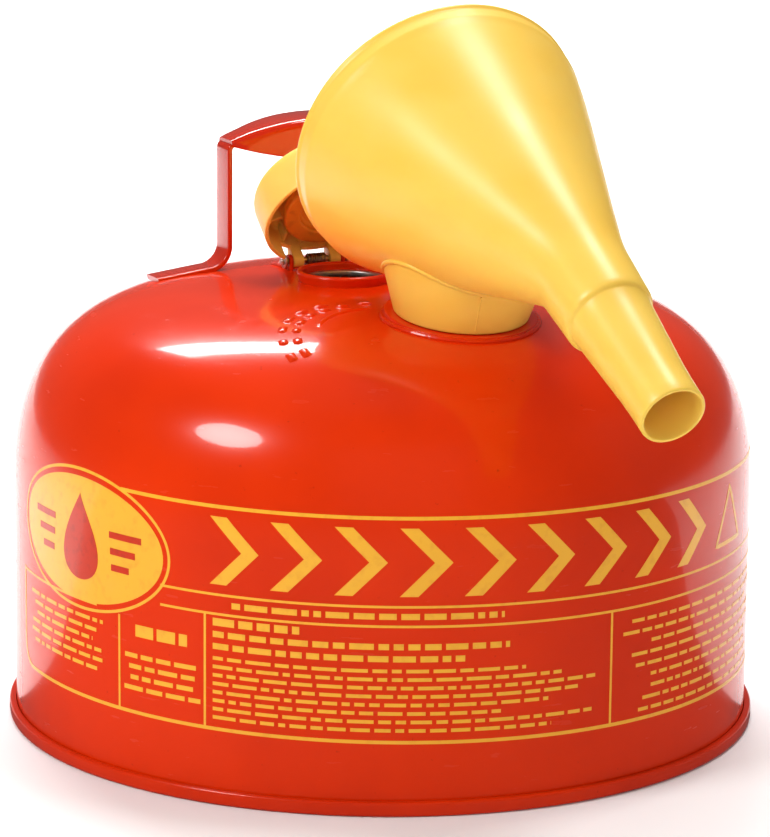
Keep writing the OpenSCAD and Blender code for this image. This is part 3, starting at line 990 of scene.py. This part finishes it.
def strap(path, width, thick):
    """Flat bar with softened edges that bends along a path of (x, z)."""
    half, deep, edge = width / 2, thick / 2, 0.7
    outline = rounded([(-half, -deep, edge), (half, -deep, edge), (half, deep, edge),
                       (-half, deep, edge)], 4)
    rings = []
    for i, p in enumerate(path):
        ahead = (path[min(i + 1, len(path) - 1)] - path[max(i - 1, 0)]).normalized()
        side = Vector((-ahead.y, ahead.x))
        rings.append([Vector((p.x + side.x * q.y, HANDLE_Y + q.x, p.y + side.y * q.y))
                      for q in outline])
    return loft(rings)


def leg_path():
    """Middle line of the right leg: elbow under the grip, drop, bend and flat foot."""
    bend, elbow = 9.0, 2.2
    bend_x = HANDLE_HALF + 8
    foot_z = dome_top(math.hypot(bend_x, HANDLE_Y)) + 1.0
    leg_x, top = HANDLE_HALF - STRAP_T / 2, HANDLE_CORNER - STRAP_T / 2
    path = [Vector((leg_x - elbow - 2, top))]
    for i in range(9):
        a = math.radians(90 - 11.25 * i)
        path.append(Vector((leg_x - elbow + elbow * math.cos(a),
                            top - elbow + elbow * math.sin(a))))
    drop = top - elbow - foot_z - bend
    path += [Vector((leg_x, top - elbow - drop * i / 8)) for i in range(1, 9)]
    for i in range(1, 11):
        a = math.radians(9 * i)
        path.append(Vector((leg_x + bend * (1 - math.cos(a)), foot_z + bend * (1 - math.sin(a)))))
    toe = Vector((FOOT_END, dome_top(math.hypot(FOOT_END, HANDLE_Y)) + 0.9))
    start = path[-1]
    return path + [start.lerp(toe, i / 6) for i in range(1, 7)]


def handle():
    """Strap handle: channel grip, two legs that bend out into flat feet."""
    sections = 60
    reach = HANDLE_HALF - 1.4
    grip = loft([grip_section(reach * math.sin(math.pi / 2 * (2 * i / sections - 1)))
                 for i in range(sections + 1)])
    leg = strap(leg_path(), STRAP_W, STRAP_T)
    other = ([Vector((-v.x, v.y, v.z)) for v in leg[0]], leg[1])
    obj = new_object("handle_strap", joined(grip, leg, other), 40)
    place(obj, "can", "handle_paint", handle_enamel, "handle")


# -------------------- funnel
def mouth_ring(radius, along=0.0):
    """Ring about the mouth's axis."""
    return [aim(MOUTH, MOUTH_TILT) @ p for p in circle(radius, along, RING_COUNT)]


def stem_ring(radius, along=0.0):
    """Ring about the stem's axis."""
    return [aim(STEM, STEM_TILT) @ p for p in circle(radius, along, RING_COUNT)]


def blend_rings(a, b, c, t):
    """Ring on the smooth bend from ring a past ring b to ring c."""
    return [p * (1 - t) ** 2 + q * 2 * t * (1 - t) + r * t * t for p, q, r in zip(a, b, c)]


def between(a, b, t):
    return [p.lerp(q, t) for p, q in zip(a, b)]


# Radius along the stem: taper, moulded step, nozzle's taper and straight tip.
NOZZLE = ((12, 16.6), (18, 16.3), (23, 16.1), (25, 15.95), (25.8, 15.6), (26.2, 15.0),
          (26.4, 14.7), (27, 14.55), (32, 14.1), (40, 13.5), (50, 12.8), (60, 12.1),
          (66, 11.85), (72, TIP_R), (76.2, TIP_R))
BOWL_END, BOWL_BULGE = 0.93, 0.115


def funnel_rings(shrink):
    """Rings from the mouth to the tip; shrink is taken off every radius."""
    mouth, stem = mouth_ring(MOUTH_R - 0.3 - shrink), stem_ring(STEM_R - shrink)
    rings = [mouth_ring(MOUTH_R - shrink, along)
             for along in (-BAND_H + 1.2, -6, -4, -2, -0.8)]
    for k in range(30):
        t = k / 30 * BOWL_END
        fuller = 1 + BOWL_BULGE * t * (1 - t) ** 3
        hub = MOUTH.lerp(STEM, t)
        rings.append([hub + (p - hub) * fuller for p in between(mouth, stem, t)])
    bend_start, bend_end = between(mouth, stem, BOWL_END), stem_ring(STEM_R - 0.2 - shrink, 7)
    rings += [blend_rings(bend_start, stem, bend_end, k / 12) for k in range(13)]
    return rings + [stem_ring(radius - shrink, along) for along, radius in NOZZLE]


def funnel():
    """Bowl, stem and nozzle with their inside, a rolled mouth lip and an eased tip."""
    end = STEM_LEN + NOZZLE_LEN
    outer = funnel_rings(0)
    tip = [stem_ring(r, end - d)
           for r, d in ((TIP_R - 0.15, 0.3), (TIP_R - 0.5, 0), (TIP_R - 1.2, 0.1))]
    inner = list(reversed(funnel_rings(FUNNEL_WALL)))
    lip = [mouth_ring(MOUTH_R - BEAD_R / 2 + BEAD_R * math.cos(a), -BAND_H - BEAD_R * math.sin(a))
           for a in (math.radians(t) for t in range(205, -40, -20))]
    obj = new_object("funnel_body", loft(outer + tip + inner + lip, closed=True), 50)
    return obj, outer


def collar_at(z):
    """Outer radius of the collar at a height above its foot."""
    return COLLAR_R + (COLLAR_TOP_R - COLLAR_R) * (z - RIM_H) / COLLAR_H


def funnel_and_collar():
    """Funnel, and the collar under it with its top cut to the bowl."""
    obj, outer = funnel()
    place(obj, "funnel", "funnel_plastic", funnel_plastic, "funnel")
    rim = ((COLLAR_IN, 0.3), (COLLAR_IN + 0.4, 0), (COLLAR_R - 0.7, 0), (COLLAR_R - 0.2, 0.2))
    rings = [circle(r, z, RING_COUNT) for r, z in rim]
    for i in range(25):
        z = RIM_H + COLLAR_H * i / 24
        rings.append(circle(collar_at(z), z, RING_COUNT))
    rings.append(circle(COLLAR_IN, RIM_H + COLLAR_H, RING_COUNT))
    seat = at_boss(COLLAR_Z)
    rings = [[seat @ p for p in ring] for ring in rings]
    collar = new_object("funnel_socket", loft(rings, closed=True), 50)
    carve(collar, loft(funnel_rings(0.4)))
    crease(collar, 50)
    place(collar, "funnel", "funnel_plastic", funnel_plastic, "funnel_collar")
    collar_trim(outer)


def up_the_collar(bowl, angle):
    """Where a line up the collar's flank starts, and where it meets the bowl."""
    foot, top = (at_boss(COLLAR_Z) @ Vector((collar_at(z) * math.cos(angle),
                                             collar_at(z) * math.sin(angle), z))
                 for z in (RIM_H, RIM_H + COLLAR_H))
    return foot, bowl.ray_cast(foot, (top - foot).normalized())[0] or top


def collar_trim(outer):
    """Rolled lip along the collar's joint with the bowl, and its two mould lines."""
    bowl = BVHTree.FromPolygons(*loft(outer))
    rim = [up_the_collar(bowl, 2 * math.pi * i / RING_COUNT)[1] for i in range(RING_COUNT)]
    rim = [(rim[i - 1] + p + rim[(i + 1) % RING_COUNT]) / 3 for i, p in enumerate(rim)]
    parts = [tube(rim, 1.0, 10, closed=True)]
    for angle in (math.radians(-104), math.radians(76)):
        foot, head = up_the_collar(bowl, angle)
        parts.append(tube([foot.lerp(head, 0.04 + i * 0.11) for i in range(9)], 0.35, 8))
    obj = new_object("collar_trim", joined(*parts), 50)
    place(obj, "funnel", "funnel_plastic", funnel_plastic, "funnel_collar")


def boss():
    """Raised plug that the collar drops over, its weld bead and its rubber ring."""
    groove = 0.95
    plug = [
        (0, -7, 0), (BOSS_R + 0.6, -7, 0), (BOSS_R + 0.6, -1.5, 1.2), (BOSS_R, BOSS_H, 1.0),
        (PLUG_R, BOSS_H, 0.3), (PLUG_R, GRIP_Z - groove, 0.1), (GRIP_R - groove, GRIP_Z, 0.5),
        (PLUG_R, GRIP_Z + groove, 0.1), (PLUG_R, PLUG_H, 1.3), (17, PLUG_H, 1.5),
        (15, PLUG_H - 1, 1.5), (0, PLUG_H - 1, 0)]
    turned("funnel_seat", plug, at_boss(), 144, "can", "boss_paint", shaded_trim_enamel, "funnel_boss")
    path = [on_dome(p.x, p.y, 0.25) for p in
            (at_boss() @ p for p in circle(BOSS_R + 0.7, 0, 180))]
    bead = new_object("seat_weld", tube(path, 0.95, 10, closed=True, wobble=0.12))
    place(bead, "can", "boss_paint", shaded_trim_enamel, "boss_weld_ring")
    outline = [Vector((GRIP_R, GRIP_Z)) + p.xy for p in circle(0.85, 0, 16)]
    ring = new_object("seat_ring", lathe(outline, at_boss(), 128))
    place(ring, "can", "ring_rubber", ring_rubber, "grip_ring")


# -------------------- build
can_shell()
bottom_seam()
seam_sealant()
filler_neck()
arrester()
arrester_clamp()
embossing()
label()
hinge()
torsion_spring()
lid()
relief()
relief_coil()
handle()
funnel_and_collar()
boss()


# -------------------- studio
VIEW_TILT = math.radians(12.466)
VIEW_ROLL = 0.0097
VIEW_TARGET = Vector((0.74, -0.35, 112.745))
VIEW_FAR = 1520.56
forward = Vector((-math.sin(VIEW_TURN) * math.cos(VIEW_TILT),
                  math.cos(VIEW_TURN) * math.cos(VIEW_TILT), -math.sin(VIEW_TILT)))
right = forward.cross(Vector((0, 0, 1))).normalized()
up = right.cross(forward)
rolled_right = right * math.cos(VIEW_ROLL) + up * math.sin(VIEW_ROLL)
rolled_up = up * math.cos(VIEW_ROLL) - right * math.sin(VIEW_ROLL)
eye = VIEW_TARGET - forward * VIEW_FAR


def add_camera():
    """Camera at the photo's angle, with a slight roll."""
    data = bpy.data.cameras.new("camera")
    data.lens = 171.4
    data.sensor_width = 36
    data.clip_end = 50
    obj = linked("camera", data)
    turn = Matrix((rolled_right, rolled_up, -forward)).transposed()
    obj.matrix_world = Matrix.Translation(eye * MM) @ turn.to_4x4()
    bpy.context.scene.camera = obj


def softbox(name, origin, look_at, width, height, power, mirrored=True):
    """Rectangular lamp that faces a point. Unless mirrored, it makes no highlight."""
    data = bpy.data.lights.new(name, "AREA")
    data.shape, data.energy = "RECTANGLE", power
    data.size, data.size_y = width * MM, height * MM
    obj = linked(name, data)
    back = (origin - look_at).normalized()
    side = Vector((0, 0, 1)).cross(back).normalized()
    turn = Matrix((side, back.cross(side), back)).transposed()
    obj.matrix_world = Matrix.Translation(origin * MM) @ turn.to_4x4()
    obj.visible_glossy = mirrored
    return data


def studio():
    """Three lamps that show as highlights, and soft light that doesn't."""
    can, cone = Vector((-40, -60, 130)), Vector((0, -120, 240))
    key = softbox("key", can + Vector((-0.79, -0.11, 0.60)) * 1300, can, 500, 320, 9)
    key.shape = "ELLIPSE"
    softbox("strip", can + Vector((0.17, 0.68, 0.70)) * 1500, can, 900, 250, 15)
    softbox("top", cone + Vector((0.27, 0.14, 0.95)) * 1400, cone, 330, 420, 8)
    softbox("front_fill", Vector((-650, -1900, 950)), can, 1500, 1500, 11, False)
    softbox("right_fill", Vector((1700, -900, 800)), can, 900, 1200, 4, False)
    softbox("overhead", Vector((0, 200, 1900)), can, 1800, 1800, 8, False)
    backdrop = softbox("backdrop", Vector((1500, 3800, 2300)), Vector((1100, 2900, 0)),
                       3600, 3000, 120, False)
    backdrop.spread = math.radians(80)
    world = bpy.data.worlds.new("studio")
    world.use_nodes = True
    sky = world.node_tree.nodes["Background"]
    sky.inputs["Color"].default_value = (1, 1, 1, 1)
    sky.inputs["Strength"].default_value = 0.11
    bpy.context.scene.world = world
    bpy.context.scene.view_settings.view_transform = "Standard"


def half_floor(name, angle, paper, mirrored):
    """Half of the floor, to the rear of a line through the origin at an angle."""
    size = 6000.0
    turn = Matrix.Rotation(angle, 3, "Z")
    mesh = bpy.data.meshes.new(name)
    mesh.from_pydata([turn @ (Vector((x, y, 0)) * MM) for x, y in
                      ((-size, 0), (size, 0), (size, size), (-size, size))], [], [(0, 1, 2, 3)])
    mesh.materials.append(paper)
    obj = linked(name, mesh)
    obj.visible_glossy = mirrored


def add_floor():
    """White paper. Only its rear half is mirrored in the enamel, as in the photo."""
    paper = Finish("floor_paper", linear(250, 250, 250), 0.8)
    paper.bump(paper.noise(300, 3), 0.02)
    rear = math.atan2(forward.y, forward.x) - math.pi / 2
    half_floor("floor_rear", rear, paper.mat, True)
    half_floor("floor_front", rear + math.pi, paper.mat, False)


add_camera()
studio()
add_floor()
